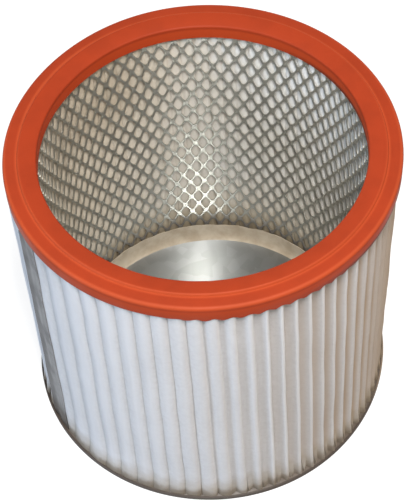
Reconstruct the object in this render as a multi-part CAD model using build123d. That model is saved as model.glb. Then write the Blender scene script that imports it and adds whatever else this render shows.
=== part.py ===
from build123d import *
import os
from math import atan2, cos, degrees, hypot, pi, radians, sin

os.makedirs("parts", exist_ok=True)

# Cartridge filter for a wet-and-dry vacuum cleaner, standing mouth up.
# A moulded ring seals its mouth, a pressed steel pan closes its foot, and a pleated
# sheet stands between them round a tube of expanded metal.
# Millimetres and degrees. +Z is up, the origin is the centre of the pan's underside.

# Whole filter
overall_height = 175.0

# Moulded end ring
ring_radius = 95.0
crest_inset = 7.5
shelf_drop = 1.3
step_run = 0.6
band_fall = 1.8
ring_wall_height = 8.2
shelf_edge_round = 1.8
shelf_edge_flat_count = 2
bore_chamfer = 1.0
bore_lip = 0.2

# Pressed steel pan
pan_overhang = 1.2
steel = 0.9
rim_height = 3.4
pan_bevel = 1.2

# Casting resin in the pan
bed_depth = 2.0
fillet_width = 3.6
fillet_height = 8.0

# Expanded metal tube
mesh_wall = 1.0
mesh_column_count = 16
mesh_row_count = 3
strand_width = 3.0
mesh_selvage = 4.0

# Pleated sheet
pleat_count = 72
pleat_depth = 14.0
sheet = 0.7
fold_radius = 1.05
tip_flat_count = 3
valley_flat_count = 2

# Strip over the seam of the sheet
seam_angle = 207.0
strip_thickness = 0.6
strip_overlap = 1.9

# Clearances between pieces that touch
tip_setback = 0.4
fold_gap = 0.2
resin_gap = 0.1
glue_gap = 0.05

# How far a cut runs past the wall that it goes through
cut_margin = 2.0

# Levels that the pieces share
crest_level = overall_height
shelf_level = crest_level - shelf_drop
ring_under = shelf_level - ring_wall_height
pan_floor = steel
bed_level = pan_floor + bed_depth
stack_height = ring_under - bed_level

# Radii that the pieces share, from the ring inwards
pan_radius = ring_radius + pan_overhang
pan_inside_radius = pan_radius - steel
crest_radius = ring_radius - crest_inset
tip_radius = ring_radius - tip_setback
valley_radius = tip_radius - pleat_depth
tip_fold_radius = tip_radius - fold_radius - sheet / 2
valley_fold_radius = valley_radius + fold_radius + sheet / 2
mesh_radius = valley_radius - fold_gap
mesh_flat_count = 2 * mesh_column_count
flat_factor = cos(pi / mesh_flat_count)
mesh_inside_radius = mesh_radius * flat_factor - mesh_wall
bore_radius = mesh_inside_radius - bore_lip
resin_radius = mesh_inside_radius - resin_gap
pleat_pitch = 360.0 / pleat_count


def polar(radius, angle):
    """Point at a radius and an angle about the filter's axis."""
    return Vector(radius * cos(radians(angle)), radius * sin(radians(angle)))


def round_corners(centre, radius, facing, turn, flats):
    """Corners of a round made of short flats, turning both ways from where it faces."""
    steps = [2 * flat / flats - 1 for flat in range(flats + 1)]
    return [centre + polar(radius, facing + turn * step) for step in steps]


def turned(outline):
    """Solid of revolution from the edges of a closed radius and height outline."""
    return revolve(Plane.XZ * make_face(outline), Axis.Z)


def standing(face):
    """Solid that stands on the resin bed and ends under the ring."""
    return extrude(Pos(0, 0, bed_level) * face, stack_height)


def make_end_ring():
    """Orange ring: sloping band inside the crest, flat shelf with a round edge outside it."""
    band_edge = crest_level - band_fall
    edge_centre = Vector(ring_radius - shelf_edge_round, shelf_level - shelf_edge_round)
    corners = [
        (bore_radius, ring_under),
        (ring_radius, ring_under),
        *round_corners(edge_centre, shelf_edge_round, 45, 45, shelf_edge_flat_count),
        (crest_radius + step_run, shelf_level),
        (crest_radius, crest_level),
        (bore_radius + bore_chamfer, band_edge),
        (bore_radius, band_edge - bore_chamfer),
    ]
    return turned(Polyline(*corners, close=True))


def make_base_plate():
    """Shallow pan pressed from one steel disc, closed at its centre."""
    corners = [
        (0, 0),
        (pan_radius - pan_bevel, 0),
        (pan_radius, pan_bevel),
        (pan_radius, rim_height),
        (pan_inside_radius, rim_height),
        (pan_inside_radius, pan_floor),
        (0, pan_floor),
    ]
    return turned(Polyline(*corners, close=True))


def make_potting():
    """Resin bed in the pan, which rises inside the foot of the mesh."""
    corners = [
        (resin_radius - fillet_width, pan_floor),
        (pan_inside_radius, pan_floor),
        (pan_inside_radius, bed_level),
        (resin_radius, bed_level),
        (resin_radius, bed_level + fillet_height),
    ]
    return turned(Polyline(*corners, close=True))


def make_support_mesh():
    """Tube of expanded metal, with a flat from each line of knuckles to the next."""
    outside = RegularPolygon(mesh_radius, mesh_flat_count)
    inside = RegularPolygon(mesh_radius - mesh_wall / flat_factor, mesh_flat_count)
    tube = standing(outside - inside)

    lattice_foot = bed_level + mesh_selvage
    row_pitch = (stack_height - 2 * mesh_selvage) / mesh_row_count
    half_width = mesh_radius * sin(pi / mesh_column_count)
    half_height = row_pitch / 2
    strand_side = hypot(half_width, half_height) * strand_width / 2
    gap_width = half_width - strand_side / half_height
    gap_height = half_height - strand_side / half_width

    gaps = []
    for flat in range(mesh_flat_count):
        angle = 360.0 * flat / mesh_flat_count
        staggered = flat % 2
        for row in range(mesh_row_count + staggered):
            top = gap_height if row < mesh_row_count else 0
            bottom = gap_height if row > 0 or not staggered else 0
            points = [(gap_width, 0), (0, top), (-gap_width, 0), (0, -bottom)]
            corners = [point for point in points if any(point)]
            gap = make_face(Polyline(*corners, close=True))
            height = lattice_foot + (row + (1 - staggered) / 2) * row_pitch
            start = polar(mesh_inside_radius - cut_margin, angle) + Vector(0, 0, height)
            side = Plane(start, x_dir=polar(1, angle + 90), z_dir=polar(1, angle))
            gaps.append(extrude(side * gap, mesh_radius - mesh_inside_radius + 2 * cut_margin))
    return tube - gaps


def tip_angle(pleat):
    """Angle of a pleat's tip, counted from the seam."""
    return seam_angle + (pleat + 0.5) * pleat_pitch


def fold_turn():
    """Angle between the way a tip points and the normal of the flank after it."""
    tip = polar(tip_fold_radius, 0)
    valley = polar(valley_fold_radius, pleat_pitch / 2)
    along = (valley - tip).normalized()
    lean = 2 * fold_radius / (valley - tip).length
    normal = along * lean + Vector(along.Y, -along.X) * (1 - lean * lean) ** 0.5
    return degrees(atan2(normal.Y, normal.X))


def sheet_face(offset):
    """Corners of one face of the folded sheet, offset outwards from its middle."""
    turn = fold_turn()
    corners = []
    for pleat in range(pleat_count):
        angle = tip_angle(pleat)
        tip = polar(tip_fold_radius, angle)
        bend = fold_radius + offset
        corners += round_corners(tip, bend, angle, turn, tip_flat_count)
        if pleat + 1 < pleat_count:
            angle = tip_angle(pleat + 0.5)
            valley = polar(valley_fold_radius, angle)
            back = pleat_pitch / 2 - turn
            bend = fold_radius - offset
            corners += round_corners(valley, bend, angle + 180, back, valley_flat_count)
    return corners


def make_pleated_media():
    """One sheet folded into upright pleats, its ends at the tips beside the seam."""
    outer = sheet_face(sheet / 2)
    inner = sheet_face(-sheet / 2)
    return standing(make_face(Polyline(*outer, *reversed(inner), close=True)))


def make_seam_strip():
    """Strip glued along the tips of the two end pleats, which closes the sheet."""
    inside = tip_radius + glue_gap
    outside = inside + strip_thickness
    half_angle = pleat_pitch / 2 + strip_overlap * 180.0 / (pi * tip_radius)
    start = seam_angle - half_angle
    end = seam_angle + half_angle
    outline = [
        CenterArc((0, 0), inside, start, 2 * half_angle),
        CenterArc((0, 0), outside, start, 2 * half_angle),
        Line(polar(inside, start), polar(outside, start)),
        Line(polar(inside, end), polar(outside, end)),
    ]
    return standing(make_face(outline))


nodes = {
    "end_ring": make_end_ring(),
    "base_plate": make_base_plate(),
    "potting": make_potting(),
    "support_mesh": make_support_mesh(),
    "pleated_media": make_pleated_media(),
    "seam_strip": make_seam_strip(),
}
for name, solid in nodes.items():
    export_step(solid, f"parts/{name}.step")
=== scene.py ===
import logging
import math
from contextlib import contextmanager
from dataclasses import dataclass
from enum import Enum
from typing import Any, Callable, ClassVar, Iterator

import bmesh
import bpy
import numpy as np
from mathutils import Matrix, Vector


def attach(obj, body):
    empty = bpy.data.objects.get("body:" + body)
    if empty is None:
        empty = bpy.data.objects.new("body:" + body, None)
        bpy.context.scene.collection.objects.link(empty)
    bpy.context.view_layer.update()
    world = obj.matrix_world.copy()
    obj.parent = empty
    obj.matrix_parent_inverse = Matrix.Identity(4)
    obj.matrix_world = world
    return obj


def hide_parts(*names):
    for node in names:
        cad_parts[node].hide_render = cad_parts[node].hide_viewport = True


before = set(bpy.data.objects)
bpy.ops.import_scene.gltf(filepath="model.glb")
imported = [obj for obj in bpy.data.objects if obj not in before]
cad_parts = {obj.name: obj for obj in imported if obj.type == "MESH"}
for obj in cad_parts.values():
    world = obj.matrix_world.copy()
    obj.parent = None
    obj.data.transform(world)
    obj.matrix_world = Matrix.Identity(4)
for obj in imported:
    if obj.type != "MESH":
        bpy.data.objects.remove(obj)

# Looks of a cartridge filter for a wet-and-dry vacuum cleaner, standing mouth up.
# Metres and degrees, in the frame of the CAD part: +Z is up, the origin is under the pan.

log = logging.getLogger("vacuum_filter")

Colour = tuple[float, float, float, float]
Span = tuple[float, float]
Curve = tuple[tuple[float, float], ...]
Test = Callable[[Vector, Vector], bool]


class Domain(Enum):
    """What a pick selects in edit mode."""

    EDGE = "EDGE"
    FACE = "FACE"


class Way(Enum):
    """Axis along which a surface is made uneven."""

    X = "X"
    Y = "Y"
    Z = "Z"


class Slot(Enum):
    """Names of the material slots."""

    RING = "ring_orange"
    MEDIA = "media_white"
    SEAM = "seam_grey"
    MESH = "mesh_steel"
    BASE = "base_steel"
    RESIN = "resin_beige"


MM = 0.001
BODY = "root"

# Levels, radii and the angle that several pieces share
PAN_FLOOR = 0.9 * MM
BED_LEVEL = 2.9 * MM
RING_UNDER = 165.5 * MM
TIP_RADIUS = 94.6 * MM
VALLEY_RADIUS = 80.6 * MM
SEAM_ANGLE = 207.0

# Dent on the right, which pan, resin and pleats share
DENT_ANGLE = 335.0
DENT_WIDTH = 42.0
DENT_DEPTH = 1.7 * MM
DENT_CORE = 90.0 * MM

# Slight waves of the sheet, which the strip glued to it follows
WAVE_DEPTH = 0.9 * MM
WAVE_SIZES = ((Way.X, 26.0 * MM), (Way.Y, 31.0 * MM))

# How much of a direction lies along an axis when it counts as along it, and as across it
ALONG = 0.9
ACROSS = 0.1

# How near a point is when it counts as being at a place, and when repeats of a piece merge
NEAR = 0.1 * MM
TOUCH = 0.02 * MM


def srgb(red: int, green: int, blue: int) -> Colour:
    """Linear colour from screen values.

    Args:
        red, green, blue: screen values from 0 to 255.

    Returns:
        The linear colour, with full alpha.
    """
    def linear(value: int) -> float:
        """One channel, from screen value to linear."""
        share = value / 255
        return share / 12.92 if share <= 0.04045 else ((share + 0.055) / 1.055) ** 2.4

    return (linear(red), linear(green), linear(blue), 1.0)


def polar(radius: float, angle: float, height: float = 0.0) -> Vector:
    """Point at a radius, an angle in degrees and a height about the filter's axis."""
    turn = math.radians(angle)
    return Vector((radius * math.cos(turn), radius * math.sin(turn), height))


def reach(place: Vector) -> float:
    """Distance of a point from the filter's axis."""
    return math.hypot(place.x, place.y)


def bearing(place: Vector) -> float:
    """Angle of a point about the filter's axis, in degrees."""
    return math.degrees(math.atan2(place.y, place.x))


def off_angle(angle: Any, middle: float) -> Any:
    """Angle from a middle, the short way round, in degrees."""
    return (angle - middle + 180) % 360 - 180


def follow(curve: Curve, where: np.ndarray) -> np.ndarray:
    """Heights of a curve, given by its corners, at places along it."""
    return np.interp(where, *zip(*curve))


# Modelling by hand

@contextmanager
def editing(piece: bpy.types.Object) -> Iterator[None]:
    """Edit mode on one piece, with nothing selected.

    Args:
        piece: the mesh object to shape.
    """
    select_only(piece)
    bpy.ops.object.mode_set(mode="EDIT")
    bpy.ops.mesh.select_all(action="DESELECT")
    yield
    bpy.ops.object.mode_set(mode="OBJECT")


def select_only(*pieces: bpy.types.Object) -> None:
    """Selects these objects and no other, the first of them active.

    Args:
        pieces: the objects to select.
    """
    bpy.ops.object.select_all(action="DESELECT")
    for piece in pieces:
        piece.select_set(True)
    bpy.context.view_layer.objects.active = pieces[0]


def pick(domain: Domain, test: Test) -> None:
    """Selects the parts of the mesh in edit mode that pass a test.

    Args:
        domain: edges or faces.
        test: takes a part's place and its normal, or its direction for an edge.
    """
    bpy.ops.mesh.select_mode(type=domain.value)
    bpy.ops.mesh.select_all(action="DESELECT")
    mesh = bpy.context.edit_object.data
    form = bmesh.from_edit_mesh(mesh)
    form.normal_update()
    if domain is Domain.EDGE:
        found = [e for e in form.edges if test(*edge_facts(e))]
    else:
        found = [f for f in form.faces if test(f.calc_center_median(), f.normal)]
    for part in found:
        part.select_set(True)
    form.select_flush_mode()
    bmesh.update_edit_mesh(mesh)


def edge_facts(edge: bmesh.types.BMEdge) -> tuple[Vector, Vector]:
    """Middle and direction of an edge."""
    first, last = (vert.co for vert in edge.verts)
    return (first + last) / 2, (last - first).normalized()


def faces_up(place: Vector, way: Vector) -> bool:
    """Whether a face looks up."""
    return way.z > ALONG


def faces_down(place: Vector, way: Vector) -> bool:
    """Whether a face looks down."""
    return way.z < -ALONG


def stands_upright(place: Vector, way: Vector) -> bool:
    """Whether an edge runs along the filter's axis."""
    return abs(way.z) > ALONG


def lies_level(place: Vector, way: Vector) -> bool:
    """Whether an edge runs across the filter's axis."""
    return abs(way.z) < ACROSS


def named(name: str) -> bpy.types.Object:
    """Names the object just added and moves its place into its mesh.

    Args:
        name: the piece's name.

    Returns:
        The object, at the origin, unturned and unscaled.
    """
    piece = bpy.context.active_object
    piece.name = name
    piece.data.name = name
    select_only(piece)
    bpy.ops.object.transform_apply(location=True, rotation=True, scale=True)
    return piece


def add_cylinder(
    name: str, radius: float, foot: float, head: float, sides: int, fill: str = "NGON",
) -> bpy.types.Object:
    """Adds a cylinder that stands about the filter's axis.

    Args:
        name: the piece's name.
        radius: the cylinder's radius.
        foot: its lower level.
        head: its upper level.
        sides: how many flats its wall has.
        fill: how its ends are closed, or NOTHING.

    Returns:
        The cylinder.
    """
    bpy.ops.object.select_all(action="DESELECT")
    bpy.ops.mesh.primitive_cylinder_add(
        vertices=sides, radius=radius, depth=head - foot, end_fill_type=fill,
        location=(0, 0, (foot + head) / 2),
    )
    return named(name)


def use_modifier(piece: bpy.types.Object, kind: str, **settings: Any) -> None:
    """Adds a modifier and applies it.

    Args:
        piece: the object to change.
        kind: the modifier's type.
        settings: values of its properties.
    """
    modifier = piece.modifiers.new(kind.lower(), kind)
    for key, value in settings.items():
        setattr(modifier, key, value)
    select_only(piece)
    bpy.ops.object.modifier_apply(modifier=modifier.name)


def array_round(piece: bpy.types.Object, count: int, pitch: float, start: float) -> None:
    """Repeats a piece about the filter's axis and merges what meets.

    Args:
        piece: the piece, modelled once on +X.
        count: how many there are in the end.
        pitch: angle from one to the next, in degrees.
        start: angle of the first one, in degrees.
    """
    bpy.ops.object.empty_add(location=(0, 0, 0), rotation=(0, 0, math.radians(pitch)))
    turn = bpy.context.active_object
    bpy.context.view_layer.update()
    use_modifier(
        piece, "ARRAY", count=count, use_relative_offset=False, use_object_offset=True,
        offset_object=turn, use_merge_vertices=True, use_merge_vertices_cap=True,
        merge_threshold=TOUCH,
    )
    bpy.data.objects.remove(turn)
    piece.rotation_euler.z = math.radians(start)
    select_only(piece)
    bpy.ops.object.transform_apply(rotation=True)


def merge_and_face_out(piece: bpy.types.Object, distance: float = 0.01 * MM) -> None:
    """Merges doubles and turns the faces outwards.

    Args:
        piece: the piece to clean.
        distance: how near two vertices have to be to become one.
    """
    with editing(piece):
        bpy.ops.mesh.select_all(action="SELECT")
        bpy.ops.mesh.remove_doubles(threshold=distance)
        bpy.ops.mesh.normals_make_consistent(inside=False)


def wobble(piece: bpy.types.Object, size: float, depth: float, way: Way, group: str = "") -> None:
    """Makes a surface slightly uneven with a soft noise.

    Args:
        piece: the piece to displace.
        size: size of the bumps.
        depth: full height of the bumps.
        way: axis along which it is displaced.
        group: vertex group that limits it, or nothing.
    """
    noise = bpy.data.textures.new(f"{piece.name}_{way.value}", "CLOUDS")
    noise.noise_scale = size
    noise.noise_depth = 1
    use_modifier(
        piece, "DISPLACE", texture=noise, texture_coords="LOCAL", direction=way.value,
        strength=depth, mid_level=0.5, vertex_group=group,
    )


def wave(piece: bpy.types.Object) -> None:
    """Gives a piece the slight waves of the sheet."""
    for way, size in WAVE_SIZES:
        wobble(piece, size, WAVE_DEPTH, way)


def press_in(piece: bpy.types.Object, angle: float, width: float, depth: float) -> None:
    """Presses one side of a round piece a little towards the axis.

    Args:
        piece: the piece, in object mode.
        angle: where it is pressed, in degrees.
        width: how far round the dent reaches, in degrees.
        depth: how deep the dent is at its middle.
    """
    for vert in piece.data.vertices:
        here = bearing(vert.co)
        off = off_angle(here, angle) / width
        outer = min(1.0, reach(vert.co) / DENT_CORE)
        vert.co -= polar(depth * math.exp(-off * off) * outer, here)


def smooth(piece: bpy.types.Object, angle: float) -> None:
    """Smooth shading over edges flatter than an angle in degrees."""
    select_only(piece)
    bpy.ops.object.shade_smooth_by_angle(angle=math.radians(angle))


# Materials

@dataclass(frozen=True)
class Spot:
    """Outputs that say where on the filter a shaded point is."""

    place: bpy.types.NodeSocket
    x: bpy.types.NodeSocket
    y: bpy.types.NodeSocket
    z: bpy.types.NodeSocket
    flat: bpy.types.NodeSocket
    radius: bpy.types.NodeSocket


class NodeSheet:
    """Nodes of one material or group, added and joined by their sockets' names."""

    def __init__(self, tree: bpy.types.NodeTree) -> None:
        """Starts on an empty tree."""
        self.tree = tree
        tree.nodes.clear()

    def add(
        self, kind: str, inputs: dict[Any, Any] | None = None, **settings: Any,
    ) -> bpy.types.Node:
        """Adds a node.

        Args:
            kind: the node's type.
            inputs: sockets by name or number, each with a value or an output to join.
            settings: values of its properties.

        Returns:
            The node.
        """
        node = self.tree.nodes.new(kind)
        for key, value in settings.items():
            setattr(node, key, value)
        for key, value in (inputs or {}).items():
            if isinstance(value, bpy.types.NodeSocket):
                self.join(value, node, key)
            else:
                node.inputs[key].default_value = value
        return node

    def join(self, output: bpy.types.NodeSocket, node: bpy.types.Node, key: Any) -> None:
        """Joins an output to a node's input."""
        self.tree.links.new(output, node.inputs[key])

    def math(self, operation: str, first: Any, second: Any = 0.0) -> bpy.types.NodeSocket:
        """Result of an operation on two values or outputs."""
        return self.add("ShaderNodeMath", {0: first, 1: second}, operation=operation).outputs[0]

    def times(self, first: Any, second: Any) -> bpy.types.NodeSocket:
        """Product of two values or outputs."""
        return self.math("MULTIPLY", first, second)

    def most(self, first: Any, second: Any) -> bpy.types.NodeSocket:
        """Larger of two values or outputs."""
        return self.math("MAXIMUM", first, second)

    def line(self, value: Any, factor: Any, start: Any) -> bpy.types.NodeSocket:
        """A value times a factor, counted from a start."""
        inputs = {0: value, 1: factor, 2: start}
        return self.add("ShaderNodeMath", inputs, operation="MULTIPLY_ADD").outputs[0]

    def vector(self, operation: str, first: Any, second: Any = (0, 0, 0)) -> bpy.types.Node:
        """Node with an operation on two vectors or outputs."""
        return self.add("ShaderNodeVectorMath", {0: first, 1: second}, operation=operation)

    def mix(self, share: Any, first: Any, second: Any) -> bpy.types.NodeSocket:
        """Colour between two colours or outputs."""
        inputs = {0: share, 6: first, 7: second}
        return self.add("ShaderNodeMix", inputs, data_type="RGBA").outputs[2]

    def fade(self, value: Any, span: Span) -> bpy.types.NodeSocket:
        """Smooth step of a value, 0 at the start of a span and 1 at its end.

        Args:
            value: the value or output that changes.
            span: where the step starts and where it ends, in either order.

        Returns:
            The step's output.
        """
        inputs = {"Value": value, "From Min": span[0], "From Max": span[1]}
        node = self.add("ShaderNodeMapRange", inputs, interpolation_type="SMOOTHSTEP")
        return node.outputs["Result"]

    def place(self) -> bpy.types.NodeSocket:
        """Object coordinates."""
        return self.add("ShaderNodeTexCoord").outputs["Object"]

    def spot(self) -> Spot:
        """Where a shaded point is on the filter.

        Returns:
            Its place, its coordinates, its place on the level and its distance from the axis.
        """
        place = self.place()
        axes = self.add("ShaderNodeSeparateXYZ", {0: place}).outputs
        flat = self.vector("MULTIPLY", place, (1, 1, 0)).outputs[0]
        radius = self.vector("LENGTH", flat).outputs["Value"]
        return Spot(place, axes["X"], axes["Y"], axes["Z"], flat, radius)

    def noise(
        self, where: Any, scale: Any, detail: float = 3.0, rough: float = 0.55,
    ) -> bpy.types.NodeSocket:
        """Value of a noise at a place."""
        inputs = {"Vector": where, "Scale": scale, "Detail": detail, "Roughness": rough}
        return self.add("ShaderNodeTexNoise", inputs).outputs["Fac"]


def new_group(
    name: str, inputs: dict[str, Any], outputs: dict[str, str],
) -> tuple[NodeSheet, bpy.types.Node, bpy.types.Node]:
    """Starts a shader node group.

    Args:
        name: the group's name.
        inputs: socket names with their first values, numbers or colours.
        outputs: socket names with their socket types.

    Returns:
        The sheet to draw on, the group's input node and its output node.
    """
    tree = bpy.data.node_groups.new(name, "ShaderNodeTree")
    sheet = NodeSheet(tree)
    for key, value in inputs.items():
        kind = "NodeSocketFloat" if isinstance(value, float) else "NodeSocketColor"
        socket = tree.interface.new_socket(name=key, in_out="INPUT", socket_type=kind)
        socket.default_value = value
    for key, kind in outputs.items():
        tree.interface.new_socket(name=key, in_out="OUTPUT", socket_type=kind)
    return sheet, sheet.add("NodeGroupInput"), sheet.add("NodeGroupOutput")


@dataclass
class Effects:
    """Node groups that several finishes share."""

    mottle: bpy.types.NodeTree
    grain: bpy.types.NodeTree
    spangle: bpy.types.NodeTree

    GREY: ClassVar[Colour] = (0.5, 0.5, 0.5, 1.0)
    PATCH_EDGE: ClassVar[Span] = (0.35, 0.7)
    COARSE_SCALE: ClassVar[float] = 0.2
    COARSE_SHARE: ClassVar[float] = 0.6
    TARNISH_SCALE: ClassVar[float] = 0.25

    @classmethod
    def make(cls) -> "Effects":
        """Draws the groups."""
        return cls(cls.draw_mottle(), cls.draw_grain(), cls.draw_spangle())

    @classmethod
    def draw_mottle(cls) -> bpy.types.NodeTree:
        """Cloudy patches of a second colour over a first.

        Returns:
            The group, with outputs Color and Mask.
        """
        sheet, given, out = new_group(
            "mottle",
            {"Base": cls.GREY, "Patch": cls.GREY, "Scale": 60.0, "Amount": 0.5},
            {"Color": "NodeSocketColor", "Mask": "NodeSocketFloat"},
        )
        cloud = sheet.noise(sheet.place(), given.outputs["Scale"], detail=5.0, rough=0.6)
        mask = sheet.times(sheet.fade(cloud, cls.PATCH_EDGE), given.outputs["Amount"])
        mixed = sheet.mix(mask, given.outputs["Base"], given.outputs["Patch"])
        sheet.join(mixed, out, "Color")
        sheet.join(mask, out, "Mask")
        return sheet.tree

    @classmethod
    def draw_grain(cls) -> bpy.types.NodeTree:
        """Fine grain of a moulded, cast or fibrous surface.

        Returns:
            The group, with an output Height.
        """
        sheet, given, out = new_group(
            "grain", {"Scale": 900.0, "Stretch": 1.0}, {"Height": "NodeSocketFloat"},
        )
        scale = given.outputs["Scale"]
        stretch = sheet.add("ShaderNodeCombineXYZ", {0: 1.0, 1: 1.0, 2: given.outputs["Stretch"]})
        where = sheet.vector("MULTIPLY", sheet.place(), stretch.outputs[0]).outputs[0]
        fine = sheet.noise(where, scale, detail=3.0, rough=0.6)
        coarse = sheet.noise(where, sheet.times(scale, cls.COARSE_SCALE), detail=2.0)
        total = sheet.math("ADD", fine, sheet.times(coarse, cls.COARSE_SHARE))
        sheet.join(total, out, "Height")
        return sheet.tree

    @classmethod
    def draw_spangle(cls) -> bpy.types.NodeTree:
        """Crystals of a zinc coat, each a little lighter or darker.

        Returns:
            The group, with an output Shade.
        """
        sheet, given, out = new_group("spangle", {"Scale": 140.0}, {"Shade": "NodeSocketFloat"})
        scale = given.outputs["Scale"]
        inputs = {"Vector": sheet.place(), "Scale": scale, "Randomness": 1.0}
        crystal = sheet.add("ShaderNodeTexVoronoi", inputs)
        tone = sheet.add("ShaderNodeSeparateColor", {0: crystal.outputs["Color"]}).outputs[0]
        cloud = sheet.noise(sheet.place(), sheet.times(scale, cls.TARNISH_SCALE), detail=3.0)
        shade = sheet.times(sheet.math("ADD", tone, cloud), 0.5)
        sheet.join(shade, out, "Shade")
        return sheet.tree


@dataclass(frozen=True)
class Finish:
    """What every finish has: the shared effects, a name and a grain."""

    effects: Effects
    name: str = "finish"
    grain_scale: float = 900.0
    grain_stretch: float = 1.0
    grain_depth: float = 0.1 * MM
    grain_strength: float = 0.3

    def material(self) -> bpy.types.Material:
        """Draws the material."""
        raise NotImplementedError

    def start(self) -> tuple[bpy.types.Material, NodeSheet, bpy.types.Node]:
        """Starts the material and grains its surface.

        Returns:
            The material, its sheet and its Principled shader, joined to the output.
        """
        material = bpy.data.materials.new(self.name)
        material.use_nodes = True
        sheet = NodeSheet(material.node_tree)
        shader = sheet.add("ShaderNodeBsdfPrincipled")
        sheet.add("ShaderNodeOutputMaterial", {"Surface": shader.outputs[0]})
        height = self.grain(sheet, self.grain_scale, self.grain_stretch)
        inputs = {"Height": height, "Distance": self.grain_depth, "Strength": self.grain_strength}
        sheet.join(sheet.add("ShaderNodeBump", inputs).outputs[0], shader, "Normal")
        return material, sheet, shader

    def grain(self, sheet: NodeSheet, scale: float, stretch: float) -> bpy.types.NodeSocket:
        """Height of the shared grain, at a scale and a stretch along the filter's axis."""
        inputs = {"Scale": scale, "Stretch": stretch}
        return sheet.add("ShaderNodeGroup", inputs, node_tree=self.effects.grain).outputs["Height"]


@dataclass(frozen=True)
class CloudyFinish(Finish):
    """Finish with cloudy patches of a second colour, which may be duller than the rest."""

    base: Colour = Effects.GREY
    patch: Colour = Effects.GREY
    patch_scale: float = 60.0
    patch_share: float = 0.5
    roughness: float = 0.5
    patch_roughness: float = 0.0

    def cloud(self, sheet: NodeSheet) -> tuple[bpy.types.NodeSocket, bpy.types.NodeSocket]:
        """Places the shared patches in the material.

        Args:
            sheet: the material's sheet.

        Returns:
            The mixed colour and the patches' mask.
        """
        inputs = {
            "Base": self.base, "Patch": self.patch, "Scale": self.patch_scale,
            "Amount": self.patch_share,
        }
        node = sheet.add("ShaderNodeGroup", inputs, node_tree=self.effects.mottle)
        return node.outputs["Color"], node.outputs["Mask"]

    def dull(self, sheet: NodeSheet, shader: bpy.types.Node, mask: bpy.types.NodeSocket) -> None:
        """Makes the patches duller than the rest."""
        rough = sheet.line(mask, self.patch_roughness, self.roughness)
        sheet.join(rough, shader, "Roughness")


@dataclass(frozen=True)
class OrangeRubber(CloudyFinish):
    """Satin orange of the moulded ring, cloudy with handling; painted highlights on its crest and
    outer edge, its sides painted lighter as if lit, and painted shadow low on the right.
    """

    name: str = "orange_rubber"
    grain_scale: float = 700.0
    grain_depth: float = 0.15 * MM
    grain_strength: float = 0.25
    base: Colour = srgb(151, 54, 27)
    patch: Colour = srgb(141, 50, 25)
    patch_scale: float = 55.0
    patch_share: float = 0.8
    # Painted highlights: lighter orange along the crest and the outer top edge
    painted_highlight: Colour = srgb(188, 84, 48)
    painted_highlight_share: float = 0.42
    painted_highlight_width: Span = (1.5 * MM, 0.1 * MM)
    painted_highlight_levels: Span = (171.0 * MM, 173.0 * MM)
    crest_radius: float = 88.0 * MM
    edge_radius: float = 94.3 * MM
    # Painted light: the sides of the ring, below the top, lighter than the top
    wall: Colour = srgb(172, 64, 31)
    lit_wall_levels: Span = (172.0 * MM, 170.5 * MM)
    # Painted shadow: dark brown along the lower edge of the ring on the right
    soil_and_shade: Colour = srgb(78, 36, 24)
    soil_and_shade_share: float = 0.75
    soil_and_shade_levels: Span = (168.4 * MM, 166.6 * MM)
    ring_shade_across: Span = (30.0 * MM, 75.0 * MM)
    roughness: float = 0.48
    patch_roughness: float = 0.12
    gloss: float = 0.1

    def material(self) -> bpy.types.Material:
        """Draws the material.

        Returns:
            The orange of the ring.
        """
        material, sheet, shader = self.start()
        spot = sheet.spot()
        colour, mask = self.cloud(sheet)
        crest = sheet.math("ABSOLUTE", sheet.math("SUBTRACT", spot.radius, self.crest_radius))
        edge = sheet.math("ABSOLUTE", sheet.math("SUBTRACT", spot.radius, self.edge_radius))
        # Painted highlights along the crest and the outer edge, on the top only
        highlight_mask = sheet.fade(sheet.math("MINIMUM", crest, edge), self.painted_highlight_width)
        highlight_mask = sheet.times(highlight_mask, sheet.fade(spot.z, self.painted_highlight_levels))
        # Painted shadow along the lower edge on the right
        low = sheet.fade(spot.z, self.soil_and_shade_levels)
        soiled_and_shaded = sheet.times(low, sheet.fade(spot.x, self.ring_shade_across))
        # Painted light on the sides of the ring
        colour = sheet.mix(sheet.fade(spot.z, self.lit_wall_levels), colour, self.wall)
        colour = sheet.mix(sheet.times(highlight_mask, self.painted_highlight_share), colour, self.painted_highlight)
        colour = sheet.mix(sheet.times(soiled_and_shaded, self.soil_and_shade_share), colour, self.soil_and_shade)
        sheet.join(colour, shader, "Base Color")
        self.dull(sheet, shader, mask)
        shader.inputs["Specular IOR Level"].default_value = self.gloss
        return material


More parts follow.
